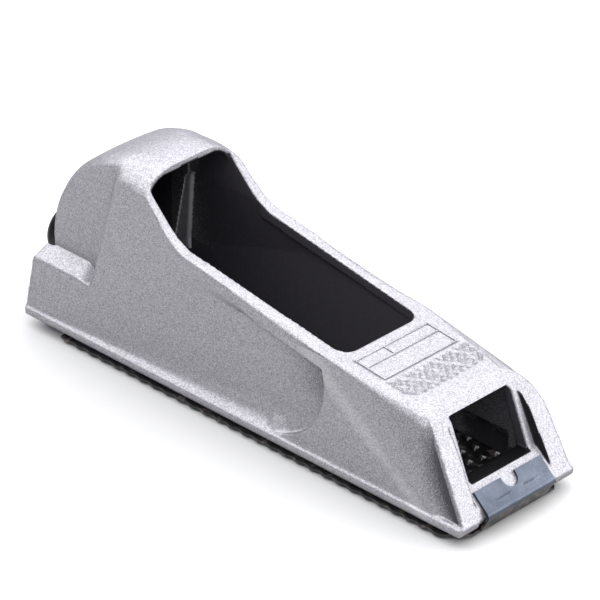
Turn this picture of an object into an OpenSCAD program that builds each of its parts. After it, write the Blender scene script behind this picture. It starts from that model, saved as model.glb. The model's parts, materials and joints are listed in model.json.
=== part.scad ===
// Pocket rasp plane: a die-cast body with a palm hump and a thumb pad, over a
// perforated steel rasp blade that hooks round a nose bar and is pulled tight
// by a shoe and a domed screw at the heel.
// Lengths run forward from the middle of the heel's leaning face, heights run
// up from the tooth tips.

/* [Body] */
// Length of the casting, heel to the toe of the nose
body_length = 154.1; // [150:0.1:160]
// Width of the casting over its bottom flange
body_width = 42.4; // [42:0.2:46]
// Height of the flange's underside over the tooth tips
sole_height = 3.3; // [3:0.1:4]
// Height of the flange band
flange_height = 2.6; // [1.5:0.1:4]
// Step from the flange in to the foot of the side wall
flange_step = 1; // [0.4:0.1:1.5]
// Lean of the side walls, in mm for each mm of height
side_lean = 0.083; // [0.05:0.005:0.1]
// Thickness of the cast walls
wall = 2.8; // [2:0.1:3.2]
// Radius of the upright corners of the heel and toe
corner_radius = 1.5; // [1:0.5:3]
// Reach of the heel's foot back past the middle of its leaning face
heel_reach = 1.3; // [0.5:0.1:2]

/* [Hump] */
// Height of the hump's crown over the tooth tips
hump_height = 57.9; // [56:0.1:60]
// Radius of the hump's back and crown, seen from the side
hump_radius = 33; // [32:0.5:34]
// Distance of the crown from the heel
hump_place = 34.2; // [33:0.1:36]
// Radius of the hump's front part from crown to side
hump_round = 13; // [11:0.5:15]
// Radius of the slight dome across the hump's front part
crown_radius = 150; // [100:10:200]
// Thickness of the hump's crown
crown_wall = 1.9; // [1.5:0.1:3]
// Half the width of the narrowed grip at the hump's back
grip_half_width = 13.9; // [12.5:0.1:14.5]
// Radius of the edge round the narrowed grip
grip_round = 3; // [2:0.5:4]
// Height of the heel steps on both sides of the grip
heel_step_height = 20.2; // [18:0.1:22]
// Distance from the heel to the front end of the heel steps
heel_step_length = 19.5; // [18:0.5:21]
// Forward lean of the grip's front edge, in degrees from upright
grip_edge_lean = 14.5; // [10:0.5:16]
// Distance from the heel to the front lip of the hump's crown
lip_place = 39.9; // [39:0.1:40.5]

/* [Deck and slot] */
// Height of the deck where it meets the hump
deck_rear_height = 41.4; // [39:0.1:42]
// Distance from the heel to where the deck meets the hump
deck_rear_place = 54.5; // [53:0.5:58]
// Height of the deck at the front end of the slot
deck_mid_height = 33.5; // [32:0.1:35]
// Height of the deck where the nose starts to curve down
deck_front_height = 30.4; // [30:0.1:31]
// Distance from the heel to where the nose starts to curve down
deck_front_place = 133; // [131:0.5:134]
// Distance from the heel to the front end of the slot
slot_front_place = 108; // [102:0.5:110]
// Half the width of the slot where it meets the hump
slot_half_width = 14.1; // [13:0.1:14.3]
// Half the width of the slot at its front end
slot_front_half_width = 13.5; // [12.5:0.1:13.7]
// Radius of the slot's front corners
slot_corner_radius = 4; // [2:0.5:6]

/* [Finger hollows] */
// Depth of each side hollow at its front end
hollow_depth = 3.9; // [2:0.1:4]
// Distance from the heel to where the hollows begin
hollow_rear_place = 8; // [5:1:14]
// Distance from the heel to the front end of the hollows
hollow_front_place = 105.5; // [100:0.5:108]
// Radius of the hollows' front end, seen from the side
hollow_end_radius = 17; // [10:0.5:18]
// Radius of the cove at the foot of the hollows' front end
hollow_cove_radius = 9; // [5:0.5:9]
// Width of the rim band left over the hollows
rim_band = 4.2; // [3:0.1:7]

/* [Deck panel and thumb pad] */
// Distance from the heel to the rear edge of the bare panel
panel_rear_place = 110.2; // [109:0.1:111]
// Distance from the heel to the front edge of the bare panel
panel_front_place = 121.6; // [120:0.1:122]
// Half the width of the bare panel
panel_half_width = 13.8; // [12:0.1:14.5]
// Depth of the bare panel under the deck
panel_depth = 0.5; // [0.3:0.1:0.8]
// Length of the D-shaped thumb pad
pad_length = 8.6; // [7:0.1:9.2]
// Spacing of the thumb pad's studs
stud_pitch = 2.3; // [2:0.1:4]
// Height of the thumb pad's studs
stud_height = 0.7; // [0.3:0.1:1]

/* [Nose] */
// Distance from the heel to where the deck's edges begin to round over
shoulder_place = 104; // [100:1:108]
// Spread of the round over the nose's shoulders, in degrees
shoulder_spread = 9.5; // [8:0.5:14]
// Radius of the first curve of the nose
nose_radius = 14.2; // [12:0.1:15]
// Slope of the nose's legs, in degrees
nose_slope = 62; // [60:1:64]
// Height of the nose window's upper edge
window_top_height = 27.6; // [26:0.1:28]
// Height of the nose window's lower edge
window_bottom_height = 12; // [11.5:0.1:13]
// Half the width of the nose window
window_half_width = 10.7; // [9:0.1:11]
// Half the width of the channel between the legs at its top
channel_top_half_width = 12.6; // [12.5:0.1:13]
// Half the width of the channel between the legs at the toe
channel_toe_half_width = 14.2; // [13.8:0.1:15]
// Thickness of the nose bar under the window
bar_thickness = 3.4; // [2.5:0.1:4]

/* [Blade] */
// Thickness of the blade's steel
blade_thickness = 0.7; // [0.5:0.1:0.9]
// Width of the blade, without its scallops
blade_width = 40.4; // [39:0.1:40.6]
// Height of the blade's underside over the tooth tips
tooth_depth = 0.9; // [0.6:0.1:1.2]
// Cut of the blade's front corners
blade_corner = 5; // [2:0.5:6]
// Pitch of the scallops along the blade's edges
scallop_pitch = 4.7; // [4:0.1:6]
// Depth of the scallops
scallop_depth = 0.6; // [0.3:0.1:0.9]
// Step from one tooth to the next along a row
tooth_step = 4.4; // [4.2:0.1:6]
// Side drift of the next tooth along a row
tooth_drift = 2.2; // [1.8:0.1:2.6]
// Step from one row of teeth to the next
row_step = 3.8; // [3.6:0.1:5]
// Forward drift of the next row of teeth
row_drift = 1.1; // [0.8:0.1:1.5]
// Width of a tooth
tooth_width = 2.6; // [2:0.1:3]
// Length of a tooth, root to tip
tooth_length = 1.5; // [1:0.1:1.7]
// Half the width of the hooked ends
hook_half_width = 12.1; // [11:0.1:12.2]
// Length of the hook's folded lip
hook_length = 6.4; // [5:0.1:7]
// Radius of the half-round notch in the hook's lip
notch_radius = 2.5; // [1.5:0.1:3.5]

/* [Tensioner] */
// Height of the screw's axis over the tooth tips
screw_height = 18.4; // [18:0.1:19]
// Diameter of the screw's shank
screw_diameter = 5; // [4:0.5:6]
// Thread pitch of the screw
screw_pitch = 0.8; // [0.7:0.1:1]
// Diameter of the screw's domed head
head_diameter = 15; // [13:0.5:16]
// Height of the domed head
head_height = 7; // [5:0.1:8]
// Width of the coin slot in the head
coin_slot_width = 1.8; // [1.2:0.1:2.5]
// Depth of the coin slot in the head
coin_slot_depth = 2; // [1:0.1:3]
// Thickness of the washer under the head
washer_thickness = 1; // [0.8:0.1:1.5]
// Width of the square nut across its flats
nut_width = 8; // [8:0.1:10]
// Thickness of the square nut
nut_thickness = 4; // [3:0.1:5]
// Turns of the screw from tight to free
screw_turns = 3.75; // [2.5:0.25:3.75]
// Running clearance of the screw in its holes, at the radius
screw_clearance = 0.25; // [0.1:0.05:0.5]
// Running clearance of the thread in the nut, at the radius
thread_clearance = 0.05; // [0.02:0.01:0.1]
// Clearance between the shoe and what it slides along
slide_clearance = 0.3; // [0.2:0.05:0.5]

/* [Hidden] */
$fn = 64;
silver = [0.72, 0.72, 0.74];
steel_dark = [0.36, 0.4, 0.47];
steel_plain = [0.62, 0.63, 0.65];
steel_black = [0.08, 0.08, 0.09];
// A length past everything
far = 200;
// Overrun of a cut past the face that it opens
over = 1;

// Cast body: heights, half widths and leans
flange_top = sole_height + flange_height;
side_foot = body_width / 2 - flange_step;
seat_height = tooth_depth + blade_thickness;
crown_foot = 43;
hump_centre_z = hump_height - hump_radius;
hump_half_width = side_half(hump_centre_z) + 0.3;
heel_lean = 0.7;
grip_lean = 0.17;
// Height of the grip's top edge over the round of the hump's front part
grip_rise = 0.6;
edge_lean = tan(grip_edge_lean);
step_flare = 0.56;
rail_width = 3;
rail_half_width = side_foot - 0.9;
rail_start = 16;
nose_slope_start = 6;
nose_mid_slope = 42;
nose_radius_low = 24;
slot_top_place = slot_front_place - 5;
deck_tilt = atan((deck_mid_height - deck_front_height) / (deck_front_place - slot_top_place));
inner_step = heel_step_length + 4.9;
inner_lean = 0.16;
under_round = 8.3;

// Blade ends: radii of the bend and the place of its centre over the sole
bend_inside = 0.6;
bend_outside = bend_inside + blade_thickness;
bend_height = tooth_depth + 5.1;
toe_bend_place = body_length - 0.2;
heel_bend_place = 10.6;
lip_slope = 42.5;
rise_slope = 60;
hook_reach = bend_outside * sin(rise_slope)
    - (bend_height - tooth_depth - bend_outside * cos(rise_slope)) / tan(rise_slope);

// Screw, shoe and clip places
boss_place = 0.2;
boss_radius = head_diameter / 2 + 1;
washer_rear = boss_place - washer_thickness;
shank_radius = screw_diameter / 2;
screw_hole_radius = shank_radius + screw_clearance;
clip_place = heel_lean + wall + slide_clearance;
clip_thickness = 0.8;
clip_groove = 0.5;
clip_radius = shank_radius * 2;
shoe_bottom = seat_height + slide_clearance;
stem_rear = heel_bend_place + hook_length * cos(lip_slope) + 0.6;
stem_front = stem_rear + nut_thickness + 2.6;
nut_rear = stem_rear + 1.3;
stem_half_width = nut_width / 2 + 3;
stem_top = screw_height + nut_width / 2 + 1;
stem_foot_top = bend_height + hook_length * sin(lip_slope);
shoe_half_width = side_foot - wall - 0.6 - slide_clearance;
shoe_travel = screw_turns * screw_pitch;
shank_end = stem_front + shoe_travel + 1;
rear_end = washer_rear - head_height;
toe_end = toe_bend_place + bend_outside;
middle = (toe_end + rear_end) / 2;

function arc(cx, cy, r, from, to, n) =
    [for (i = [0:n]) [cx + r * cos(from + (to - from) * i / n), cy + r * sin(from + (to - from) * i / n)]];
function slope_line(x, x0, z0, x1, z1) = z0 + (z1 - z0) * (x - x0) / (x1 - x0);
function deck_height(x) = x < slot_top_place
    ? slope_line(x, deck_rear_place, deck_rear_height, slot_top_place, deck_mid_height)
    : slope_line(x, slot_top_place, deck_mid_height, deck_front_place, deck_front_height);
function side_half(z) = side_foot - side_lean * (z - flange_top);

// Nose curve: two arcs and a straight leg, each starting where the last one ends
nose_c1 = [deck_front_place - nose_radius * sin(nose_slope_start),
    deck_front_height - nose_radius * cos(nose_slope_start)];
nose_p1 = nose_c1 + nose_radius * [sin(nose_mid_slope), cos(nose_mid_slope)];
nose_c2 = nose_p1 - nose_radius_low * [sin(nose_mid_slope), cos(nose_mid_slope)];

// Channel between the legs: a steeper slope than the legs, from the window's top
channel_slope = 67;
function channel_place(z) = body_length - 13.3 + (window_top_height - z) / tan(channel_slope);

// Draws a side view, x along and z up, as a slab between two places across
module slab(from, to) {
    translate([0, to, 0])
        rotate([90, 0, 0])
            linear_extrude(to - from)
                children();
}

// Draws a cross-section, y across and z up, as a bar between two places along
module bar(from, to) {
    translate([from, 0, 0])
        rotate([90, 0, 90])
            linear_extrude(to - from)
                children();
}

// Puts the heel-based drawing on the part's own origin, under the middle
module place() {
    translate([-middle, 0, 0])
        children();
}

module both_sides() {
    children();
    mirror([0, 1, 0])
        children();
}

// Rectangle in plan with round corners
module plan_round(length, width, radius) {
    translate([0, radius])
        square([length, width - 2 * radius]);
    translate([radius, 0])
        square([length - 2 * radius, width]);
    for (x = [radius, length - radius], y = [radius, width - radius])
        translate([x, y])
            circle(r = radius);
}

// Front of the hump, seen from the side: a steep lip with a hollow foot
lip_curve = [[lip_place + 1, hump_height + over], [lip_place + 1, 57.4], [lip_place, 55.6],
    [lip_place + 0.2, 53.9], [lip_place + 1, 52.6], [lip_place + 2.5, 50.9], [lip_place + 5, 48.4],
    [lip_place + 7.6, 45.8], [lip_place + 10.5, 43.4]];

// Side view of the body, left square over the hump
module body_side() {
    polygon(concat(
        [[-heel_reach + 0.8, sole_height], [-heel_reach, sole_height + 1.5],
            [heel_lean, heel_step_height], [heel_lean, hump_height + over]],
        lip_curve,
        [[deck_rear_place, deck_rear_height], [slot_top_place, deck_mid_height]],
        arc(nose_c1[0], nose_c1[1], nose_radius, 90 - nose_slope_start, 90 - nose_mid_slope, 8),
        arc(nose_c2[0], nose_c2[1], nose_radius_low, 90 - nose_mid_slope, 90 - nose_slope, 4),
        [[body_length, sole_height + 2], [body_length - 0.6, sole_height]]
    ));
}

// Cross-section that gives the flange and the leaning side walls
module body_section() {
    half = [[body_width / 2 - 0.4, sole_height], [body_width / 2, sole_height + 0.4],
        [body_width / 2, flange_top - 0.7], [side_foot, flange_top],
        [side_half(hump_height), hump_height + over]];
    polygon(concat(half, [for (i = [len(half) - 1:-1:0]) [-half[i][0], half[i][1]]]));
}

// Half cross-section of the hump: a slight dome, then a round corner to the side
function crown_curve(radius, half_width, round, dome) = let (
    c = half_width - round,
    tilt = asin(c / (dome - round)),
    drop = radius - dome + (dome - round) * cos(tilt))
    concat([[half_width, 0]], arc(c, drop, round, 0, 90 - tilt, 8),
        arc(0, radius - dome, dome, 90 - tilt, 90, 3));

// Disc that gives the hump its crown
module hump_disc(radius, half_width, round, dome) {
    half = crown_curve(radius, half_width, round, dome);
    translate([hump_place, 0, hump_centre_z])
        rotate([90, 0, 0])
            rotate_extrude($fn = 96)
                polygon(concat(
                    [for (p = half) [p[1], p[0]]],
                    [for (i = [len(half) - 1:-1:0]) [half[i][1], -half[i][0]]]
                ));
}

// Side view of the narrowed grip, between the heel step and the crown
module grip_side(inset, floor, front) {
    rear = heel_lean + inset;
    polygon([[rear, floor], [rear + (hump_height - floor) * grip_lean, hump_height + over],
        [front + (hump_height - heel_step_height) * edge_lean, hump_height + over],
        [front, heel_step_height], [front, floor]]);
}

// Everything forward of the grip, with the slanting steps up to the flanks
module before_grip() {
    translate([heel_step_length, 0, heel_step_height])
        rotate([0, grip_edge_lean, 0])
            translate([0, 0, -heel_step_height])
                linear_extrude(far)
                    polygon([[0, -grip_half_width], [far * step_flare, -grip_half_width - far],
                        [2 * far, -grip_half_width - far], [2 * far, grip_half_width + far],
                        [far * step_flare, grip_half_width + far], [0, grip_half_width]]);
}

module body_outside() {
    intersection() {
        slab(-far, far)
            body_side();
        bar(-heel_reach - over, body_length + over)
            body_section();
        translate([-heel_reach, -body_width / 2, 0])
            linear_extrude(far)
                plan_round(body_length + heel_reach, body_width, corner_radius);
        union() {
            translate([-far, -far, 0])
                cube([2 * far, 2 * far, heel_step_height]);
            intersection() {
                before_grip();
                union() {
                    hump_disc(hump_radius, hump_half_width, hump_round, crown_radius);
                    translate([deck_rear_place, -far, 0])
                        cube([far, 2 * far, far]);
                    translate([deck_rear_place - 5, -far, 0])
                        cube([far, 2 * far, deck_rear_height]);
                    translate([0, -far, 0])
                        cube([far, 2 * far, hump_centre_z]);
                }
            }
        }
    }
    intersection() {
        hump_disc(hump_radius, grip_half_width, grip_round, crown_radius);
        hump_disc(hump_radius + grip_rise, hump_half_width, hump_round, crown_radius);
        slab(-grip_half_width, grip_half_width)
            grip_side(0, heel_step_height - over, heel_step_length + over);
    }
    // rails that the blade seats on
    both_sides()
        translate([rail_start, rail_half_width - rail_width, seat_height])
            cube([body_length - rail_start - 8, rail_width, flange_height]);
    // boss that the washer seats on
    translate([boss_place, 0, screw_height])
        rotate([0, 90, 0])
            cylinder(r = boss_radius, h = wall);
}

// Plan of the well under the deck, following the toed-in walls
module well_plan() {
    rear = side_foot - wall;
    front = slot_front_half_width;
    polygon([[0, -rear], [inner_step, -rear], [slot_front_place, -front], [far, -front],
        [far, front], [slot_front_place, front], [inner_step, rear], [0, rear]]);
}

module body_inside() {
    bar_rear = channel_place(window_bottom_height) - bar_thickness;
    // well under the deck, open to the sole
    intersection() {
        slab(-far, far)
            polygon([[inner_step - 2, 0], [inner_step - 2, heel_step_height],
                [inner_step + (hump_height - heel_step_height) * inner_lean, hump_height + over],
                [lip_place + 8, hump_height + over], [deck_rear_place - 3, deck_rear_height - wall],
                [slot_top_place, deck_mid_height - wall],
                [deck_front_place, deck_front_height - wall],
                [channel_place(window_top_height) - wall, window_top_height - 1],
                [bar_rear, window_bottom_height - 1], [bar_rear + 6, 0]]);
        linear_extrude(far)
            well_plan();
        bar(0, far)
            polygon([[-side_foot, 0], [-slot_half_width, crown_foot], [slot_half_width, crown_foot],
                [side_foot, 0]]);
    }
    // slot up through the deck
    intersection() {
        slab(-far, far)
            polygon([[lip_place, crown_foot - 8], [lip_place, far], [far, far], [far, 20]]);
        linear_extrude(far) {
            polygon([[0, -slot_half_width], [deck_rear_place, -slot_half_width],
                [slot_front_place - slot_corner_radius, -slot_front_half_width],
                [slot_front_place - slot_corner_radius, slot_front_half_width],
                [deck_rear_place, slot_half_width], [0, slot_half_width]]);
            translate([slot_front_place - 12, -slot_front_half_width])
                plan_round(12, 2 * slot_front_half_width, slot_corner_radius);
        }
    }
    // under the hump's crown
    intersection() {
        hump_disc(hump_radius - crown_wall, slot_half_width, under_round - wall, crown_radius);
        slab(-far, far)
            polygon([[inner_step, heel_step_height],
                [inner_step + (hump_height - heel_step_height) * inner_lean, hump_height + over],
                [far, hump_height + over], [far, heel_step_height]]);
    }
    // inside the narrowed grip
    intersection() {
        hump_disc(hump_radius - wall, grip_half_width - wall, grip_round - 1, crown_radius);
        slab(-grip_half_width, grip_half_width)
            grip_side(wall, heel_step_height - wall - over, inner_step + over);
    }
    // heel chamber for the shoe
    translate([heel_lean + wall, -side_foot + wall + 0.6, 0])
        cube([inner_step - heel_lean - wall, 2 * (side_foot - wall - 0.6), heel_step_height - wall]);
    // lighter legs under the nose
    translate([slot_front_place + 6, wall - side_foot, 0])
        cube([body_length - slot_front_place - 22, 2 * (side_foot - wall), window_bottom_height]);
    // flat face for the washer, and one inside for the clip
    translate([boss_place - far, 0, screw_height])
        rotate([0, 90, 0])
            cylinder(r = boss_radius, h = far);
    translate([heel_lean + wall, 0, screw_height])
        rotate([0, 90, 0])
            cylinder(r = clip_radius + 0.5, h = wall);
}

// Corner along x whose round grows from nothing: what lies outside of a cone
module cone_corner(angle, length) {
    difference() {
        intersection() {
            rotate([0, 0, -angle])
                translate([0, 0, -far])
                    cube([far, far, 2 * far]);
            rotate([0, -angle, 0])
                translate([0, -far, -far])
                    cube([far, 2 * far, far]);
        }
        rotate([45, 0, 0])
            rotate([0, 90 - atan(sqrt(2) * tan(angle)), 0])
                cylinder(h = length, r1 = 0, r2 = length * sin(angle), $fn = 96);
    }
}

// Hollow in the right-hand side wall, toed in from nothing at its rear end
module finger_hollow() {
    length = hollow_front_place - hollow_rear_place;
    end_place = hollow_front_place - hollow_end_radius;
    lean = 1.2;
    // drop of the floor that brings the cove's foot down to the flange
    drop = hollow_cove_radius - sqrt(pow(hollow_cove_radius, 2) - pow(hollow_cove_radius - hollow_depth, 2))
        + hollow_depth * tan(lean);
    intersection() {
        translate([hollow_rear_place, -side_foot, flange_top])
            rotate([0, atan(drop / length), atan(hollow_depth / length)])
                rotate([-lean, 0, 0])
                    difference() {
                        translate([0, -far, 0])
                            cube([far, far, far]);
                        cone_corner(atan(hollow_cove_radius / length), 2 * length);
                    }
        slab(-far, 0)
            polygon(concat([[0, flange_top], [end_place, flange_top]],
                arc(end_place, flange_top + hollow_end_radius, hollow_end_radius, -90, 90, 24),
                [[0, flange_top + 2 * hollow_end_radius]]));
        slab(-far, 0)
            polygon([[0, 0], [0, deck_height(0) - rim_band], [slot_top_place, deck_mid_height - rim_band],
                [far, deck_height(far) - rim_band], [far, 0]]);
    }
}

// Round of the corner between the deck and the right-hand flank, growing to the nose
module nose_shoulder() {
    translate([shoulder_place, -side_half(deck_height(shoulder_place)), deck_height(shoulder_place)])
        rotate([0, deck_tilt, 0])
            rotate([180 - atan(side_lean), 0, 0])
                cone_corner(shoulder_spread, 2 * (body_length - shoulder_place));
}

// Shallow groove behind the edge of the nose's right-hand leg
module leg_groove() {
    radius = 9;
    depth = 1.1;
    intersection() {
        translate([body_length - 4.5, depth - side_foot - radius, flange_top])
            rotate([-3, nose_slope - 90, 0])
                translate([0, 0, -radius])
                    cylinder(r = radius, h = 3 * radius + 4);
        translate([0, -far, flange_top])
            cube([far, far, far]);
    }
}

module deck_panel() {
    slab(-panel_half_width, panel_half_width)
        polygon([for (p = [[panel_rear_place, -panel_depth], [panel_front_place, -panel_depth],
            [panel_front_place, over], [panel_rear_place, over]])
            [p[0], deck_height(p[0]) + p[1]]]);
}

// Sunk bed of the thumb pad, with rows of studs left standing
module thumb_pad() {
    bed = panel_front_place + 0.8;
    half = panel_half_width + 0.2;
    corner = pad_length / 2 - 0.4;
    stud = stud_pitch * 0.45;
    row = stud_pitch * 0.6;
    translate([bed, 0, deck_height(bed)])
        rotate([0, deck_tilt, 0])
            difference() {
                translate([0, -half, -stud_height])
                    linear_extrude(stud_height + over) {
                        plan_round(pad_length, 2 * half, corner);
                        square([corner, 2 * half]);
                    }
                for (i = [0:floor(pad_length / row) - 1], j = [-6:6])
                    let (x = (i + 0.6) * row, y = (j + (i % 2) / 2) * stud_pitch)
                        if (abs(y) < half - stud && x + max(0, abs(y) - half + corner) < pad_length - stud / 2)
                            translate([x, y, -stud_height - over])
                                rotate([0, 0, 45])
                                    translate([-stud / 2, -stud / 2, 0])
                                        cube([stud, stud, stud_height + over]);
            }
}

// Channel down the nose between its two legs, and the window at its top
module nose_channel() {
    top = window_top_height + 0.8;
    along = [cos(lip_slope), -sin(lip_slope)];
    face = [toe_bend_place, bend_height] + bend_inside * [sin(lip_slope), cos(lip_slope)];
    rise = [cos(rise_slope), sin(rise_slope)];
    intersection() {
        slab(-far, far)
            polygon([[channel_place(top), top], [channel_place(window_bottom_height), window_bottom_height],
                face - 9 * along, face - 0.2 * along,
                [toe_bend_place, bend_height] + bend_inside / 2 * [rise[1], -rise[0]],
                [toe_bend_place, bend_height] + bend_inside / 2 * [rise[1], -rise[0]] - 5.4 * rise,
                [toe_bend_place - 3, 0], [far, 0], [far, top]]);
        bar(channel_place(top) - over, far)
            polygon([[-channel_top_half_width, top + over], [-channel_toe_half_width, 0],
                [channel_toe_half_width, 0], [channel_top_half_width, top + over]]);
    }
    slab(-window_half_width, window_half_width)
        polygon([[deck_front_place, window_top_height - 6], [deck_front_place, window_top_height - 1],
            [deck_front_place + 6, window_top_height], [body_length, window_top_height],
            [body_length, window_bottom_height],
            [channel_place(window_bottom_height) - 6, window_bottom_height]]);
}

module body_casting() {
    color(silver)
        place()
            difference() {
                body_outside();
                body_inside();
                both_sides() {
                    finger_hollow();
                    nose_shoulder();
                    leg_groove();
                }
                deck_panel();
                thumb_pad();
                nose_channel();
                // hole for the screw
                translate([-over, 0, screw_height])
                    rotate([0, 90, 0])
                        cylinder(r = screw_hole_radius, h = heel_lean + wall + 2 * over);
            }
}

// Side view of one hooked end, rising from the flat strip and folded back over the bar
function hook_side() = concat(
    [[hook_reach - 3, tooth_depth], [hook_reach, tooth_depth]],
    arc(0, bend_height, bend_outside, rise_slope - 90, 90 - lip_slope, 8),
    [hook_point(bend_outside), hook_point(bend_inside)],
    arc(0, bend_height, bend_inside, 90 - lip_slope, rise_slope - 90, 8),
    [[hook_reach - blade_thickness * tan(rise_slope / 2), seat_height], [hook_reach - 3, seat_height]]);
function hook_point(r) = [r * sin(lip_slope) - hook_length * cos(lip_slope),
    bend_height + r * cos(lip_slope) + hook_length * sin(lip_slope)];

module blade_hook() {
    lip = hook_point(bend_outside);
    difference() {
        slab(-hook_half_width, hook_half_width)
            polygon(hook_side());
        translate([lip[0], 0, lip[1]])
            rotate([0, lip_slope, 0])
                translate([1, 0, -3 * blade_thickness])
                    cylinder(r = notch_radius, h = 6 * blade_thickness);
    }
}

// Outline of the flat strip in plan, with scalloped edges
function blade_plan(from, to) = let (
    step = scallop_pitch / 4,
    n = floor((to - from) / step),
    edge = [for (i = [0:n]) [from + (to - from) * i / n,
        blade_width / 2 + scallop_depth * (0.5 - 0.5 * cos(90 * i))]])
    concat(
        [for (e = edge) if (e[0] < to - blade_corner) e], [[to, blade_width / 2 - blade_corner],
            [to, blade_corner - blade_width / 2]],
        [for (i = [n:-1:0]) if (edge[i][0] < to - blade_corner) [edge[i][0], -edge[i][1]]]);

// Places of the teeth: a skewed lattice, cut off at the strip's edges
function tooth_places(from, to) = [
    for (j = [-20:20], i = [-40:60])
        let (x = from + 2 + i * tooth_step + j * row_drift, y = j * row_step - i * tooth_drift)
            if (x > from + 2 && x < to - 2 * tooth_length - 1 && abs(y) < blade_width / 2 - tooth_width / 2 - 0.6)
                [x, y]];

module rasp_blade() {
    from = heel_bend_place - hook_reach;
    to = toe_bend_place + hook_reach;
    teeth = tooth_places(from, to);
    color(steel_dark)
        place() {
            translate([0, 0, tooth_depth])
                linear_extrude(blade_thickness)
                    difference() {
                        polygon(blade_plan(from, to));
                        for (p = teeth)
                            translate([p[0] + tooth_length, p[1] - tooth_width / 2])
                                square([tooth_length, tooth_width]);
                    }
            for (p = teeth)
                translate([p[0], p[1], 0])
                    slab(-tooth_width / 2, tooth_width / 2)
                        polygon([[0, tooth_depth], [tooth_length - 0.3, 0], [tooth_length, 0],
                            [tooth_length, tooth_depth + blade_thickness / 2], [0.4, tooth_depth + 0.1]]);
            translate([toe_bend_place, 0, 0])
                blade_hook();
            translate([heel_bend_place, 0, 0])
                mirror([1, 0, 0])
                    blade_hook();
        }
}

// Domed head with a coin slot, and the plain shank with its clip groove
module tension_screw() {
    dome = 2.6;
    head_radius = head_diameter / 2;
    color(steel_black)
        place()
            translate([washer_rear, 0, screw_height])
                difference() {
                    union() {
                        rotate([0, -90, 0])
                            rotate_extrude()
                                polygon(concat([[0, 0], [head_radius - 0.4, 0], [head_radius, 0.4]],
                                    arc(head_radius - dome, head_height - dome, dome, 0, 75, 8),
                                    [[0, head_height]]));
                        rotate([0, 90, 0])
                            cylinder(r = shank_radius, h = shank_end - washer_rear);
                    }
                    translate([-head_height - over, -coin_slot_width / 2, -head_diameter])
                        cube([coin_slot_depth + over, coin_slot_width, 2 * head_diameter]);
                    translate([clip_place - washer_rear - 0.1, 0, 0])
                        rotate([0, 90, 0])
                            difference() {
                                cylinder(r = head_radius, h = clip_thickness + 0.2);
                                cylinder(r = shank_radius - clip_groove, h = clip_thickness + 0.2);
                            }
                }
}

module head_washer() {
    color(steel_plain)
        place()
            translate([washer_rear, 0, screw_height])
                rotate([0, 90, 0])
                    difference() {
                        cylinder(d = head_diameter - 1, h = washer_thickness);
                        translate([0, 0, -over])
                            cylinder(r = shank_radius + 0.15, h = washer_thickness + 2 * over);
                    }
}

// Open ring in the shank's groove, inside the heel wall
module retaining_clip() {
    color(steel_plain)
        place()
            translate([clip_place, 0, screw_height])
                rotate([0, 90, 0])
                    difference() {
                        cylinder(r = clip_radius, h = clip_thickness);
                        translate([0, 0, -over])
                            cylinder(r = shank_radius - clip_groove + 0.05, h = clip_thickness + 2 * over);
                        translate([0, -shank_radius * 0.7, -over])
                            cube([far, shank_radius * 1.4, clip_thickness + 2 * over]);
                    }
}

// Sliding shoe: a foot inside the blade's rear hook and a stem that holds the nut
module tension_shoe() {
    gap = slide_clearance;
    bend = [heel_bend_place, bend_height];
    toe = bend + (bend_inside - gap) * [-sin(rise_slope), -cos(rise_slope)];
    top = bend + (bend_inside - gap) * [-sin(lip_slope), cos(lip_slope)];
    color(steel_plain)
        place()
            difference() {
                union() {
                    slab(-hook_half_width, hook_half_width)
                        polygon([toe, top, top + (hook_length + 1) * [cos(lip_slope), sin(lip_slope)],
                            [stem_front, stem_foot_top], [stem_front, shoe_bottom],
                            toe + (toe[1] - shoe_bottom) * [1 / tan(rise_slope), -1]]);
                    slab(-shoe_half_width, shoe_half_width)
                        polygon([[stem_rear, shoe_bottom], [stem_rear, shoe_bottom + 3],
                            [stem_front, shoe_bottom + 3], [stem_front, shoe_bottom]]);
                    slab(-stem_half_width, stem_half_width)
                        polygon([[stem_rear, shoe_bottom], [stem_rear, stem_top],
                            [stem_front, stem_top], [stem_front, shoe_bottom]]);
                }
                translate([0, 0, screw_height])
                    rotate([0, 90, 0])
                        cylinder(r = screw_hole_radius, h = far);
                translate([nut_rear - 0.1, -nut_width / 2 - 0.1, screw_height - nut_width / 2 - 0.1])
                    cube([nut_thickness + 0.2, nut_width + 0.2, far]);
            }
}

module screw_nut() {
    color(steel_plain)
        place()
            translate([nut_rear, 0, screw_height])
                difference() {
                    translate([0, -nut_width / 2, -nut_width / 2])
                        cube([nut_thickness, nut_width, nut_width]);
                    translate([-over, 0, 0])
                        rotate([0, 90, 0])
                            cylinder(r = shank_radius + thread_clearance, h = nut_thickness + 2 * over);
                }
}

body_casting();
rasp_blade();
tension_screw();
head_washer();
retaining_clip();
tension_shoe();
screw_nut();
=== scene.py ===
# %% [markdown]
# # A pocket rasp plane
# The tool is one die-cast body with a palm hump at the back, a deep well through its deck and a
# sloping nose, over a punched steel rasp blade. The blade hooks round a bar in the nose and is
# pulled tight at the heel by a screw with a domed head.
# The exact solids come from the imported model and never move. This script gives them their finish,
# and replaces those whose real form is softer or finer than the solids.

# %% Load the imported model
import json
import math
import bpy
import numpy as np
from mathutils import Matrix, Vector
from mathutils.bvhtree import BVHTree

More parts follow.
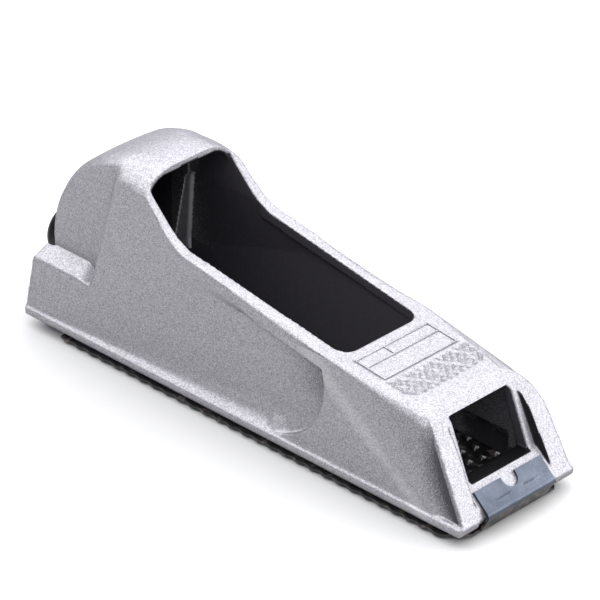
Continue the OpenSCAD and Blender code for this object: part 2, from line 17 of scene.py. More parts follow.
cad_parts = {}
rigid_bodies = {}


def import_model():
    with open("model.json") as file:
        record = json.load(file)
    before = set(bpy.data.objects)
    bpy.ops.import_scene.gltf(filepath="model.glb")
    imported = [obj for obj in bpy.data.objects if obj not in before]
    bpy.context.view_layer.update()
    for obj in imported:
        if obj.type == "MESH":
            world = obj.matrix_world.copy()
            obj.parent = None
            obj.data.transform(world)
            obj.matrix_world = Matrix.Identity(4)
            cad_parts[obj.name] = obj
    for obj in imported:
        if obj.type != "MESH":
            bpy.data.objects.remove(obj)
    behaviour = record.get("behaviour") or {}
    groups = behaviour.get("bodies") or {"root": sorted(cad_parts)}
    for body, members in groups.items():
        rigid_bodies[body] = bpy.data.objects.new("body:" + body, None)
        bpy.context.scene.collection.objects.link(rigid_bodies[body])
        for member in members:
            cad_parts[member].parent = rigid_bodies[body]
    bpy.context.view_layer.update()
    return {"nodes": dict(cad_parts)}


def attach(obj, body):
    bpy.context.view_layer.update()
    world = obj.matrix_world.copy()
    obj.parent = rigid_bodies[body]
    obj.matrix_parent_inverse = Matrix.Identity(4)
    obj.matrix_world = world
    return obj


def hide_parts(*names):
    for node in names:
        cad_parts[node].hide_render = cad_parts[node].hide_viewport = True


for leftover in list(bpy.data.objects):
    bpy.data.objects.remove(leftover)
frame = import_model()
print("solids:", ", ".join(sorted(frame["nodes"])))

# %% [markdown]
# ## Measuring in the maker's own places
# Lengths on a plane are easiest to say from the heel, in millimetres, with heights from the tips
# of the teeth. One function turns such a place into the frame's metres, so the numbers below can
# be checked against a real tool with a ruler. The deck slopes down a little towards the nose, and
# a second function gives its height at any place.

# %% A place on the tool
MIDDLE = 73.7
DECK_START, DECK_TOP, DECK_SLOPE = 103, 33.5, -3.1 / 30


def place(x, y, z):
    """A point given from the heel, in millimetres, as the frame's metres."""
    return Vector(((x - MIDDLE) / 1000, y / 1000, z / 1000))


def deck_at(x):
    """The front deck's height at this distance from the heel."""
    return DECK_TOP + DECK_SLOPE * (x - DECK_START)


print("toe of the nose:", [round(c, 4) for c in place(154.1, 0, 3.3)])

# %% [markdown]
# ## The camera
# The photograph was taken from far away with a long lens, from the front and one side and half
# above. The angles below were found by fitting straight edges of the tool. A long lens keeps
# parallel edges nearly parallel, which is why the picture looks almost like a technical drawing.

# %% Camera
AZIMUTH, ELEVATION, ROLL = math.radians(44.058), math.radians(30.061), math.radians(0.34)
LOOKS_AT, DISTANCE = Vector((0.000915, 0.004834, 0.027465)), 1.13912
back = Vector((math.sin(AZIMUTH) * math.cos(ELEVATION), -math.cos(AZIMUTH) * math.cos(ELEVATION),
               math.sin(ELEVATION)))
sideways = Vector((math.cos(AZIMUTH), math.sin(AZIMUTH), 0))
upright = back.cross(sideways)
right = sideways * math.cos(ROLL) + upright * math.sin(ROLL)
up = upright * math.cos(ROLL) - sideways * math.sin(ROLL)

camera = bpy.data.objects.new("camera", bpy.data.cameras.new("camera"))
bpy.context.collection.objects.link(camera)
camera.data.lens = 270
camera.data.sensor_width = 36
camera.data.clip_start, camera.data.clip_end = 0.1, 20
camera.rotation_mode = "QUATERNION"
camera.rotation_quaternion = Matrix((right, up, back)).transposed().to_quaternion()
camera.location = LOOKS_AT + back * DISTANCE
bpy.context.scene.camera = camera
print("camera stands", round(camera.location.length, 3), "m away")

# %% [markdown]
# ## Light and floor
# A small studio: a pale sweep, one large soft light high over the tool, and a second one low in
# front of the nose. A metallic paint shows what it mirrors, so the lights' places decide which
# faces are bright: the deck mirrors the high light, the nose's legs mirror the low one, and the
# near flank mirrors the dimmer floor.

# %% Studio
def soft_light(name, size, watts, where, aim):
    """A square soft light at one point, turned towards another."""
    data = bpy.data.lights.new(name, "AREA")
    data.size = size
    data.energy = watts
    light = bpy.data.objects.new(name, data)
    bpy.context.collection.objects.link(light)
    light.location = where
    light.visible_camera = False
    light.rotation_mode = "QUATERNION"
    light.rotation_quaternion = (Vector(aim) - Vector(where)).to_track_quat("-Z", "Y")


soft_light("overhead_box", size=4.4, watts=206, where=(-0.65, 0.6, 1.5), aim=(-0.65, 0.6, 0))
soft_light("nose_box", size=1.2, watts=27, where=(1.6, 1.2, 0.55), aim=(0.05, 0, 0.02))

world = bpy.data.worlds.new("studio_air")
world.use_nodes = True
air = world.node_tree.nodes["Background"]
air.inputs["Color"].default_value = (0.95, 0.96, 1, 1)
air.inputs["Strength"].default_value = 0.5
bpy.context.scene.world = world
bpy.context.scene.view_settings.view_transform = "Standard"

bpy.ops.object.select_all(action="DESELECT")
bpy.ops.mesh.primitive_plane_add(size=6, location=(0, 0, 0))
floor = bpy.context.object
floor.name = "floor"

# %% [markdown]
# ## Tools of the bench
# Everything below is made with the same few moves: take one piece in hand, merge a copy of a
# solid, add a modifier and apply it, join copies into one piece. Loose triangles that come from
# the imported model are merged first, because smoothing and bevels need faces that know their
# neighbours.

# %% Helpers for shaping
MERGE_WITHIN = 0.000004


def take(piece):
    """Only this piece is selected and active."""
    bpy.ops.object.select_all(action="DESELECT")
    piece.select_set(True)
    bpy.context.view_layer.objects.active = piece


def shape(piece, kind, **settings):
    """Adds a modifier with these settings and applies it."""
    modifier = piece.modifiers.new(kind, kind)
    for name, value in settings.items():
        setattr(modifier, name, value)
    take(piece)
    bpy.ops.object.modifier_apply(modifier=modifier.name)


def merged_copy(node, name):
    """A new piece with a copy of a solid's mesh, its loose triangles merged."""
    source = frame["nodes"][node]
    piece = bpy.data.objects.new(name, source.data.copy())
    bpy.context.collection.objects.link(piece)
    piece.data.transform(source.matrix_world)
    piece.data.materials.clear()
    take(piece)
    bpy.ops.object.mode_set(mode="EDIT")
    bpy.ops.mesh.select_all(action="SELECT")
    bpy.ops.mesh.remove_doubles(threshold=MERGE_WITHIN)
    bpy.ops.mesh.normals_make_consistent(inside=False)
    bpy.ops.object.mode_set(mode="OBJECT")
    return piece


def own_copy(piece, where):
    """A copy of this piece with a mesh of its own, set down at a place."""
    copy = piece.copy()
    copy.data = piece.data.copy()
    copy.data.transform(Matrix.Translation(where))
    bpy.context.collection.objects.link(copy)
    return copy


def join(first, others):
    """Makes the other pieces part of the first one's mesh."""
    take(first)
    for piece in others:
        piece.select_set(True)
    bpy.ops.object.join()


print("solid of the casting:", len(frame["nodes"]["body_casting"].data.polygons), "triangles")

# %% [markdown]
# ## Tools of the paint shop
# A finish is a few nodes joined by their sockets. Colours are written as on a screen, in sRGB,
# and turned to the linear values that a shader works with.

# %% Helpers for materials
def colour(code):
    """An sRGB hex code as the linear colour that a shader wants."""
    parts = [int(code[i:i + 2], 16) / 255 for i in (1, 3, 5)]
    return tuple(c / 12.92 if c < 0.04045 else ((c + 0.055) / 1.055) ** 2.4 for c in parts) + (1,)


def material(name):
    """A new node material and its shader."""
    made = bpy.data.materials.new(name)
    made.use_nodes = True
    return made, made.node_tree.nodes["Principled BSDF"]


def feed(made, node, inputs):
    """Joins sockets to a node's inputs, or sets the values of those that get a number or colour."""
    for socket, source in inputs.items():
        if isinstance(source, bpy.types.NodeSocket):
            made.node_tree.links.new(source, node.inputs[socket])
        else:
            node.inputs[socket].default_value = source


def add(made, kind, inputs=None, **settings):
    """Adds one node with these settings and feeds its inputs."""
    node = made.node_tree.nodes.new(kind)
    for name, value in settings.items():
        setattr(node, name, value)
    feed(made, node, inputs or {})
    return node


def set_tones(ramp, first, last, start=0, end=1):
    """Gives a colour ramp its two tones, and the values at which it reaches them."""
    stops = zip(ramp.color_ramp.elements, (first, last), (start, end))
    for element, code, position in stops:
        element.color, element.position = colour(code), position


print("mid grey in linear light:", round(colour("#808080")[0], 3))

# %% [markdown]
# ## The body's paint
# The casting is zinc or aluminium under a sprayed metallic paint. Up close the paint is a grey
# binder full of tiny mirror flakes that lie at slightly different angles, so each grain of it is
# brighter or darker than the next. A Voronoi texture gives every grain its own tone and its own
# random tilt. Real flakes are 0.05 mm wide; they are drawn 0.24 mm wide here, because finer ones
# would average out in the picture. A slight orange peel, 1.4 mm from crest to crest, keeps the
# reflections soft.
# The casting is black where no paint came. An attribute on the mesh, the coat, says what each place
# shows, and it carries painted shade and painted highlights besides the paint: -1 is drawn near
# black, 0 is black primer, 1 is full silver, and 2 is a painted highlight in near-white. Between 0
# and 1 the silver lies in grains, as thin spray does, so its border is ragged like a real one.

# %% Silver flake paint over black primer
FLAKE, FLAKE_TILT = 0.00024, 0.06
PEEL_PER_METRE, PEEL_DEPTH = 700, 0.00003

paint, silver = material("sprayed_metallic_silver_paint")
coords = add(paint, "ShaderNodeTexCoord").outputs["Object"]
flakes = add(paint, "ShaderNodeTexVoronoi", {"Vector": coords, "Scale": 1 / FLAKE})
tilt = add(paint, "ShaderNodeVectorMath", {0: flakes.outputs["Color"], 1: (0.5, 0.5, 0.5)},
           operation="SUBTRACT")
lean = add(paint, "ShaderNodeVectorMath", {0: tilt.outputs["Vector"], "Scale": FLAKE_TILT},
           operation="SCALE")
plain = add(paint, "ShaderNodeNewGeometry")
turned = add(paint, "ShaderNodeVectorMath",
             {0: plain.outputs["Normal"], 1: lean.outputs["Vector"]}, operation="ADD")
facing = add(paint, "ShaderNodeVectorMath", {0: turned.outputs["Vector"]}, operation="NORMALIZE")
orange_peel = add(paint, "ShaderNodeTexNoise",
                  {"Vector": coords, "Scale": PEEL_PER_METRE, "Detail": 2})
skin = add(paint, "ShaderNodeBump",
           {"Height": orange_peel.outputs["Fac"], "Distance": PEEL_DEPTH, "Strength": 0.25,
            "Normal": facing.outputs["Vector"]})
glint = add(paint, "ShaderNodeSeparateColor", {"Color": flakes.outputs["Color"]})
grain = add(paint, "ShaderNodeValToRGB", {"Fac": glint.outputs["Red"]})
set_tones(grain, "#7a797e", "#a6a5aa")
print("paint flakes of", FLAKE * 1000, "mm")

# %% [markdown]
# The ragged border comes from adding a noise as fine as the flakes to the coat, and then calling
# everything above one value silver and everything below another black. Silver is mostly metal to
# a ray of light, and black primer is not, so the same cover drives Metallic.

# %% Where the paint is thin, drawn near black, or painted as a highlight
# The lowest value is drawn darker than the black primer, and the highest is a painted near-white
# highlight.
NEAR_BLACK, BLACK, SILVER, PAINTED_HIGHLIGHT = -1, 0, 1, 2
NO_SILVER, ALL_SILVER = 0.62, 1.15

coat_and_painted_light = add(paint, "ShaderNodeAttribute", attribute_name="coat_and_painted_light").outputs["Fac"]
speckle = add(paint, "ShaderNodeTexNoise", {"Vector": coords, "Scale": 1 / FLAKE, "Detail": 1})
ragged = add(paint, "ShaderNodeMath", {0: speckle.outputs["Fac"], 1: 0.9, 2: coat_and_painted_light},
             operation="MULTIPLY_ADD")
cover = add(paint, "ShaderNodeMapRange",
            {"Value": ragged.outputs["Value"], "From Min": NO_SILVER,
             "From Max": ALL_SILVER}).outputs["Result"]
# Below black primer the coat darkens to near black.
darkening = add(paint, "ShaderNodeMapRange", {"Value": coat_and_painted_light, "From Min": NEAR_BLACK, "From Max": BLACK})
primer = add(paint, "ShaderNodeValToRGB", {"Fac": darkening.outputs["Result"]})
set_tones(primer, "#09090a", "#38363c")
covered = add(paint, "ShaderNodeMix",
              {0: cover, 6: primer.outputs["Color"], 7: grain.outputs["Color"]}, data_type="RGBA")
# Above full silver the coat turns towards a painted near-white highlight.
highlight_amount = add(paint, "ShaderNodeMapRange", {"Value": coat_and_painted_light, "From Min": SILVER, "From Max": PAINTED_HIGHLIGHT})
with_highlight = add(paint, "ShaderNodeMix",
            {0: highlight_amount.outputs["Result"], 6: covered.outputs[2], 7: colour("#f6f6f8")},
            data_type="RGBA")
metal = add(paint, "ShaderNodeMapRange", {"Value": cover, "To Max": 0.64})
feed(paint, silver, {"Base Color": with_highlight.outputs[2], "Metallic": metal.outputs["Result"],
                     "Normal": skin.outputs["Normal"], "Roughness": 0.45,
                     "Specular Tint": colour("#77747f"), "Specular IOR Level": 0.3})
print("the paint has", len(paint.node_tree.nodes), "nodes")

# %% [markdown]
# ## The body casting
# A die casting has no sharp edges: every corner is rounded a little, and walls of different
# thickness flow into one another. The solid has the right forms but crisp edges. A voxel remesh
# turns a copy of it into one even skin, smoothing then rounds every edge by about half a
# millimetre, and a decimate takes out the points that flat faces don't need.

# %% Body casting
VOXEL = 0.00036
body = merged_copy("body_casting", "painted_casting")
shape(body, "REMESH", mode="VOXEL", voxel_size=VOXEL)


def mesh_arrays(piece):
    """The piece's points in the maker's millimetres, and its normals."""
    count = len(piece.data.vertices)
    spots, normals = np.empty(count * 3), np.empty(count * 3)
    piece.data.vertices.foreach_get("co", spots)
    piece.data.vertex_normals.foreach_get("vector", normals)
    return spots.reshape(-1, 3) * 1000 + (MIDDLE, 0, 0), normals.reshape(-1, 3)


print("skin of", len(body.data.polygons), "small squares")

# %% [markdown]
# Beside the palm grip lie two steps. In the photograph their tops slope outward, so the points of
# each top are lifted most near the grip and not at all at the outer edge. Everything is measured
# along the tool from the heel, across it from the middle, and in height from the teeth.

# %% Heel steps that slope outward
STEP_TOP, STEP_RISE = 20.2, 2.9
GRIP_FOOT, STEP_EDGE = 13.9, 19.3
spots, _ = mesh_arrays(body)
along, across, height = spots[:, 0], np.abs(spots[:, 1]), spots[:, 2]


def fade(value, start, end):
    """0 at start, 1 at end, and a straight ramp between them."""
    return np.clip((value - start) / (end - start), 0, 1)


def within(value, low, high):
    """True between these two measures."""
    return (value > low) & (value < high)


step_rise = (fade(across, STEP_EDGE, GRIP_FOOT) * STEP_RISE
             * fade(along, 20, 17) * fade(along, 0, 1))
step_top = STEP_TOP + step_rise
raised = within(height, 19.9, step_top) & within(across, 13.3, STEP_EDGE) & (along < 20)
spots[raised, 2] = step_top[raised]
body.data.vertices.foreach_set("co", ((spots - (MIDDLE, 0, 0)) / 1000).ravel())
print("points lifted:", int(raised.sum()))

# %% [markdown]
# The steps run into the grip with a generous round, the crown has no ledge where the grip begins,
# the fold between grip and flank is soft, and so is the upper edge of the finger hollow. A vertex
# group marks these corners, and a long smoothing that follows the group melts them.

# %% Soft corners
FOLD_FOOT, FOLD_LEAN = 20.5, 0.2586
HOLLOW_TOP = 36.1
LEVELS = 8


def mark(group, chosen, weight):
    """Puts the chosen points in a vertex group."""
    group.add([int(i) for i in np.flatnonzero(chosen)], weight, "REPLACE")


step_corner = 0.3 * (fade(across, 11.5, 13) * fade(across, STEP_EDGE, 18.3) * fade(along, 0.4, 2)
                     * fade(along, 24, 22) * fade(height, 17.5, 19) * fade(height, 26, 24))
from_fold = np.abs(along - FOLD_FOOT - (height - STEP_TOP) * FOLD_LEAN)
crown_ledge = (fade(from_fold, 8, 5) * fade(height, 40, 46) * fade(across, 3, 6)
               * fade(across, 18, 17))
fold_line = (0.4 * fade(from_fold, 4, 2.5) * fade(height, 21, 24) * fade(height, 50, 46)
             * fade(across, 12.5, 13.5))
hollow_top = (fade(np.abs(height - HOLLOW_TOP), 3, 1.2) * fade(across, 15.5, 16.5)
              * fade(along, 48, 54) * fade(along, 104, 98))
melt = np.max([step_corner, crown_ledge, fold_line, hollow_top], axis=0)
corners = body.vertex_groups.new(name="melt")
for level in range(1, LEVELS + 1):
    mark(corners, np.round(melt * LEVELS) == level, level / LEVELS)
shape(body, "SMOOTH", factor=0.9, iterations=60, vertex_group="melt")
shape(body, "SMOOTH", factor=0.5, iterations=2)
print("points that melt:", int((melt > 0.5 / LEVELS).sum()))

# %% [markdown]
# The coat, with its painted shade and highlights, is kept point by point, so the skin stays fine
# where it changes across a flat face: on the piers inside the hump, beside the nose's legs, and
# round the front of the hollow. A second group holds those points back from the decimate. Its ratio
# is worked out from the small squares of the remesh, and each of them is two triangles in the
# result.

# %% Fewer faces, but not where the paint changes
KEPT_SQUARES = 120000
spots, _ = mesh_arrays(body)
along, across, height = spots[:, 0], np.abs(spots[:, 1]), spots[:, 2]
in_hump = within(along, 21, 28) & within(across, 10.5, 17.2) & within(height, 17, 50)
by_legs = (along > 132) & (across > 11) & within(height, 4, 31)
by_hollow = within(along, 82, 124) & (across > 15.5) & within(height, 8, 34)
mark(body.vertex_groups.new(name="fine"), in_hump | by_legs | by_hollow, 1)
shape(body, "DECIMATE", ratio=min(1, KEPT_SQUARES / len(body.data.polygons)),
      vertex_group="fine", invert_vertex_group=True)
body.data.materials.append(paint)
take(body)
bpy.ops.object.shade_smooth()
print("casting:", len(body.data.polygons), "faces")

# %% [markdown]
# ## Where the silver went
# Paint reaches what a spray gun can see. The well, the hump's inside and the window behind the
# nose stay black: a point of the skin is inside if it faces the middle of the well and sees it. A
# ray sent that way from the point tells whether another face of the skin is in between.

# %% Inside or outside
mesh = body.data
spots, normals = mesh_arrays(body)
tree = BVHTree.FromPolygons([v.co for v in mesh.vertices],
                            [face.vertices[:] for face in mesh.polygons])
OFF_SKIN = 0.0003
WELL_REAR, WELL_FRONT, WELL_FLOOR = 28, 100, 8


def is_outside(spot, normal):
    """True for a point that faces away from the middle of the well, or can't see it."""
    start = place(*spot) + normal * OFF_SKIN
    way = place(min(max(spot[0], WELL_REAR), WELL_FRONT), 0, WELL_FLOOR) - start
    if normal.dot(way) < 0.05 * way.length:
        return True
    return tree.ray_cast(start, way.normalized(), way.length)[0] is not None


print("the deck is outside:", is_outside((108, 0, DECK_TOP), Vector((0, 0, 1))))

# %% [markdown]
# Silver isn't even on a tool like this, and the tones of the photograph say where it differs. On
# the flanks the coat is made thinner towards the toe and on the floor of the finger hollow, as
# painted shade, fuller and paler on the lip in front of the hollow, as a painted highlight, and
# dark in the groove beside each leg of the nose, as painted shade. In the hump, silver covers the
# faces of its piers that look out of its mouth, their edges carry painted near-white highlights,
# and the walls beside them get a little silver that fades forward.

# %% The coat and painted light on the flanks and in the hump
HOLLOW_FLOOR = 18
LIP_AT, LIP_LEAN, LIP_WIDTH, LIP_HIGHLIGHT = 112, 1.5, 9, 1.11
LEG_EDGE, LEG_LEAN = 155.3, 0.53
FLANGE_TOP = 5.9
PIER_EDGE, WALL_FADE_REACH = 11.1, 6


def flank_coat_and_painted_light(along, side, height):
    """The coat on a flank, in front of the middle of the tool, with painted shade towards the toe,
    in the hollow and beside the legs, and a painted highlight on the lip.
    """
    # Painted shade: the coat is made thinner towards the toe.
    flank_tone = SILVER - 0.42 * float(fade(along, 80, 134))
    # Painted shade on the floor of the finger hollow.
    if side < HOLLOW_FLOOR and along < 105 and 8 < height < 35:
        return flank_tone - 0.38 * float(fade(along, 82, 102) * fade(height, 12, 22))
    # Painted highlight: the coat is made fuller on the lip in front of the hollow.
    lip_highlight = math.exp(-((along - LIP_AT - LIP_LEAN * (24 - height)) / LIP_WIDTH) ** 2)
    flank_tone += lip_highlight * (LIP_HIGHLIGHT - flank_tone)
    # Painted shade in the groove beside each leg of the nose.
    groove = 4 + 0.33 * max(0, 30 - height)
    from_leg = (LEG_EDGE - LEG_LEAN * height - along) / groove
    if height < FLANGE_TOP or not 0 < from_leg < 1:
        return flank_tone
    return flank_tone - 0.85 * float(fade(height, 29, 20)) * (1 - math.sqrt(from_leg))


def hump_coat_and_highlights(along, side, height, looks_out):
    """The coat inside the hump: a little silver on its walls that fades forward, and silver piers
    with painted near-white highlights along their edges.
    """
    if not 22 < along < 60 or height < 17:
        return BLACK
    if not looks_out or along > 28:
        # Points that don't look out of the mouth get a little silver that fades forward.
        return 0.3 * math.exp(-max(0, along - 25) / WALL_FADE_REACH) if height > 20 else BLACK
    wall = 14.5 + 0.143 * (40 - height) - 0.7
    # Painted highlights: near-white along the pier's edge by the wall and along PIER_EDGE.
    by_wall = math.exp(-((side - wall) / 0.8) ** 2)
    by_edge = math.exp(-((side - PIER_EDGE) / 0.35) ** 2)
    return min(PAINTED_HIGHLIGHT, 0.85 + 1.2 * by_wall + 1.2 * by_edge)


print("coat at the toe of a flank:", round(flank_coat_and_painted_light(134, 20, 20), 2))

# %% [markdown]
# The side walls of the nose's channels and the top of its bar are drawn near black, the bed of the
# thumb pad between the studs is painted darker as shade, and the walls inside the nose beside its
# window are drawn a speckled grey.

# %% The coat and painted light everywhere
BED = 122.4, 131.0
CHANNEL_REAR, BAR_REAR, BAR_FRONT = 141, 138, 148.2


def coat_and_painted_light_at(spot, normal):
    """What a point of the skin shows, on the scale from near black over black primer and silver to
    a painted highlight.
    """
    along, side, height = spot[0], abs(spot[1]), spot[2]
    outward = normal.y * spot[1]
    # The side walls of the nose's channels are drawn darker, down to near black, where they face
    # across the channel.
    if along > CHANNEL_REAR and 11.6 < side < 15 and outward < 0:
        return SILVER - 1.8 * float(fade(abs(normal.y), 0.3, 0.7))
    # The top of the bar in the nose window is drawn near black.
    if normal.z > 0.6 and side < 10.9 and BAR_REAR < along < BAR_FRONT and height < 13:
        return NEAR_BLACK
    # Painted shade: the bed between the studs is drawn half covered.
    if BED[0] < along < BED[1] and side < 14 and 27 < height < deck_at(along) - 0.35:
        return 0.5
    if abs(normal.y) > 0.6 and outward > 0 and along > 80:
        return flank_coat_and_painted_light(along, side, height)
    if is_outside(spot, normal):
        return SILVER
    # Walls inside the nose beside its window are drawn a speckled grey.
    if along > 116 and side > 11 and height > 8:
        return 0.36
    return hump_coat_and_highlights(along, side, height, normal.x >= 0.5)


coat_and_painted_light_values = [coat_and_painted_light_at(spot, Vector(normal)) for spot, normal in zip(spots, normals)]
layer = mesh.attributes.new("coat_and_painted_light", "FLOAT", "POINT")
layer.data.foreach_set("value", coat_and_painted_light_values)
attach(body, "casting")
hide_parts("body_casting")
print("share of the skin with a full coat:",
      round(float((np.array(coat_and_painted_light_values) > 0.95).mean()), 3))

# %% [markdown]
# ## The panel in front of the slot
# A shallow sunk panel lies between the slot and the thumb pad. The casting's die leaves a thin
# raised frame in it, with one line across and one between the two rear fields. The fields are
# bare here. Each line is a bar with bevelled edges, and the whole frame is let down onto the
# sloping floor of the panel.

# %% Panel frame
PANEL_DEPTH = 0.5
PANEL_REAR, PANEL_LINE, PANEL_FRONT, HALF_PANEL, DIVIDER = 111.0, 114.8, 120.8, 12.9, -3
LINE_WIDTH, LINE_HEIGHT, LINE_BEVEL = 0.42, 0.3, 0.00012


def bar(x, y, length, width):
    """A bar lying level at the panel, with bevelled edges."""
    bpy.ops.object.select_all(action="DESELECT")
    bpy.ops.mesh.primitive_cube_add(size=1, location=place(x, y, 0))
    made = bpy.context.object
    made.scale = (length / 1000, width / 1000, 2 * LINE_HEIGHT / 1000)
    bpy.ops.object.transform_apply(location=True, rotation=True, scale=True)
    shape(made, "BEVEL", width=LINE_BEVEL, segments=2)
    return made


def full_coat(piece):
    """Covers a whole piece with silver."""
    layer = piece.data.attributes.new("coat_and_painted_light", "FLOAT", "POINT")
    layer.data.foreach_set("value", [float(SILVER)] * len(piece.data.vertices))


bars = [bar(x, 0, LINE_WIDTH, 2 * HALF_PANEL + LINE_WIDTH)
        for x in (PANEL_REAR, PANEL_LINE, PANEL_FRONT)]
panel_middle, panel_length = (PANEL_REAR + PANEL_FRONT) / 2, PANEL_FRONT - PANEL_REAR
bars += [bar(panel_middle, y, panel_length, LINE_WIDTH) for y in (-HALF_PANEL, HALF_PANEL)]
bars.append(bar((PANEL_REAR + PANEL_LINE) / 2, DIVIDER, PANEL_LINE - PANEL_REAR, LINE_WIDTH))
panel_frame = bars[0]
panel_frame.name = "panel_frame"
join(panel_frame, bars[1:])
for vertex in panel_frame.data.vertices:
    vertex.co.z += (deck_at(vertex.co.x * 1000 + MIDDLE) - PANEL_DEPTH) / 1000
panel_frame.data.materials.append(paint)
full_coat(panel_frame)
take(panel_frame)
bpy.ops.object.shade_smooth_by_angle(angle=math.radians(40))
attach(panel_frame, "casting")
print("panel frame:", len(panel_frame.data.polygons), "faces")

# %% [markdown]
# ## The thumb pad
# In front of the panel, rows of small blunt pyramids give the thumb its grip. One is a cone of
# four sides with a flat tip, bevelled, and turned with a corner forward. Copies stand in
# staggered rows on the sunk bed, as far as its rounded front corners let them.
# Their paint is the body's, rubbed smooth by the thumb so its flakes lie flatter, and painted
# paler, as light that sets the studs off from the painted shade of the bed.

# %% Studs
HALF_PAD, PAD_CORNER, MARGIN = 14.0, 3.9, 0.5
PITCH, ROW, FIRST_ROW = 2.3, 1.38, 0.6
STUD_RADIUS, STUD_TIP, STUD_HEIGHT, STUD_BEVEL = 0.00092, 0.0003, 0.0012, 0.00009
STUD_SINK = 0.48
bpy.ops.object.select_all(action="DESELECT")
bpy.ops.mesh.primitive_cone_add(vertices=4, radius1=STUD_RADIUS, radius2=STUD_TIP,
                                depth=STUD_HEIGHT)
stud = bpy.context.object
shape(stud, "BEVEL", width=STUD_BEVEL, segments=1)
pad_length = BED[1] - BED[0]
studs = []
for i in range(int(pad_length / ROW)):
    for j in range(-6, 7):
        x, y = (i + FIRST_ROW) * ROW, (j + (i % 2) / 2) * PITCH
        past_corner = max(0, abs(y) - HALF_PAD + PAD_CORNER)
        if abs(y) < HALF_PAD - MARGIN and x + past_corner < pad_length - MARGIN:
            studs.append(own_copy(stud, place(BED[0] + x, y, deck_at(BED[0] + x) - STUD_SINK)))
bpy.data.objects.remove(stud)
pad, stud_count = studs[0], len(studs)
pad.name = "thumb_pad_studs"
join(pad, studs[1:])
stud_paint = paint.copy()
stud_paint.name = "paler_silver_paint_of_the_studs"
stud_paint.node_tree.nodes[lean.name].inputs["Scale"].default_value = FLAKE_TILT / 2
# Paler tones: painted light on the studs.
set_tones(stud_paint.node_tree.nodes[grain.name], "#9a999e", "#a6a5aa")
pad.data.materials.append(stud_paint)
full_coat(pad)
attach(pad, "casting")
print("studs:", stud_count, "with", len(pad.data.polygons), "faces")

# %% [markdown]
# ## The rasp blade
# The blade starts as a thin strip of carbon steel. A press punches every tooth in one stroke: it
# opens a window and pushes the steel behind it down into a small scoop with a sharp front edge.
# The wavy side edges are the cut-off rows of the same pattern. Both ends are folded up and back
# into hooks.
# One tooth with its window is modelled on a small grid and copied to the places of a skewed
# lattice. The strip's outline goes round them all, fill closes the sheet between, the hooks are
# drawn out of its ends, and Solidify gives it the thickness of the steel.

# %% One tooth and its window
UNDERSIDE, THICK = 0.9, 0.7
TOOTH, HALF_TOOTH = 1.5, 1.3
COLUMNS = (-0.2, 0.25, 0.7, 1.1, TOOTH, 2.6, 2 * TOOTH, 3.25)
ROWS = (-1.55, -HALF_TOOTH, -0.85, -0.3, 0.3, 0.85, HALF_TOOTH, 1.55)
LAST_COLUMN, LAST_ROW = len(COLUMNS) - 1, len(ROWS) - 1
CORNER = 0.14

bpy.ops.object.select_all(action="DESELECT")
bpy.ops.mesh.primitive_grid_add(x_subdivisions=LAST_COLUMN, y_subdivisions=LAST_ROW, size=1)
tooth = bpy.context.object
rim = tooth.vertex_groups.new(name="rim")
for vertex in tooth.data.vertices:
    column = round((vertex.co.x + 0.5) * LAST_COLUMN)
    row = round((vertex.co.y + 0.5) * LAST_ROW)
    x, y, z = COLUMNS[column], ROWS[row], 0
    if column in (0, LAST_COLUMN) or row in (0, LAST_ROW):
        rim.add([vertex.index], 1, "REPLACE")
    elif column == LAST_COLUMN - 1 and row in (1, LAST_ROW - 1):
        x, y = x - CORNER, y - math.copysign(CORNER, y)
    elif x <= TOOTH and abs(y) < HALF_TOOTH:
        z = -UNDERSIDE * (x / TOOTH) ** 1.3 * (1 - (y / HALF_TOOTH) ** 2) ** 0.7
    vertex.co = (x / 1000, y / 1000, z / 1000)
take(tooth)
bpy.ops.object.mode_set(mode="EDIT")
bpy.ops.mesh.select_all(action="DESELECT")
bpy.ops.mesh.select_mode(type="FACE")
bpy.ops.object.mode_set(mode="OBJECT")
for face in tooth.data.polygons:
    x, y = face.center.x * 1000, face.center.y * 1000
    face.select = TOOTH < x < 2 * TOOTH and abs(y) < HALF_TOOTH
bpy.ops.object.mode_set(mode="EDIT")
bpy.ops.mesh.delete(type="FACE")
bpy.ops.mesh.select_mode(type="VERT")
bpy.ops.object.mode_set(mode="OBJECT")
print("one tooth:", len(tooth.data.polygons), "faces")

# %% [markdown]
# The lattice is skewed, so that no tooth runs in another's scratch: one step along a row also
# goes a little sideways, and one step across a little forward. Teeth that would touch the edges
# or the bends are left out.

# %% The teeth in their places
STRIP_REAR, STRIP_FRONT, HALF_STRIP = 12.043, 152.457, 20.2
ROW_STEP, ACROSS_STEP = (4.4, -2.2), (1.1, 3.8)
BLANK_END, BLANK_EDGE = 2, 0.6
teeth = []
for j in range(-20, 21):
    for i in range(-12, 50):
        x = STRIP_REAR + BLANK_END + ROW_STEP[0] * i + ACROSS_STEP[0] * j
        y = ACROSS_STEP[1] * j + ROW_STEP[1] * i
        if (STRIP_REAR + BLANK_END < x < STRIP_FRONT - 2 * TOOTH - 1
                and abs(y) < HALF_STRIP - HALF_TOOTH - BLANK_EDGE):
            teeth.append(own_copy(tooth, place(x, y, UNDERSIDE)))
bpy.data.objects.remove(tooth)
print("teeth:", len(teeth))

# %% [markdown]
# The outline has a wave along each side, a cut corner at each side of the toe, and close points
# where the notch in each hook will be. It and the rims of the tooth grids bound the sheet, which
# fill then closes with triangles.

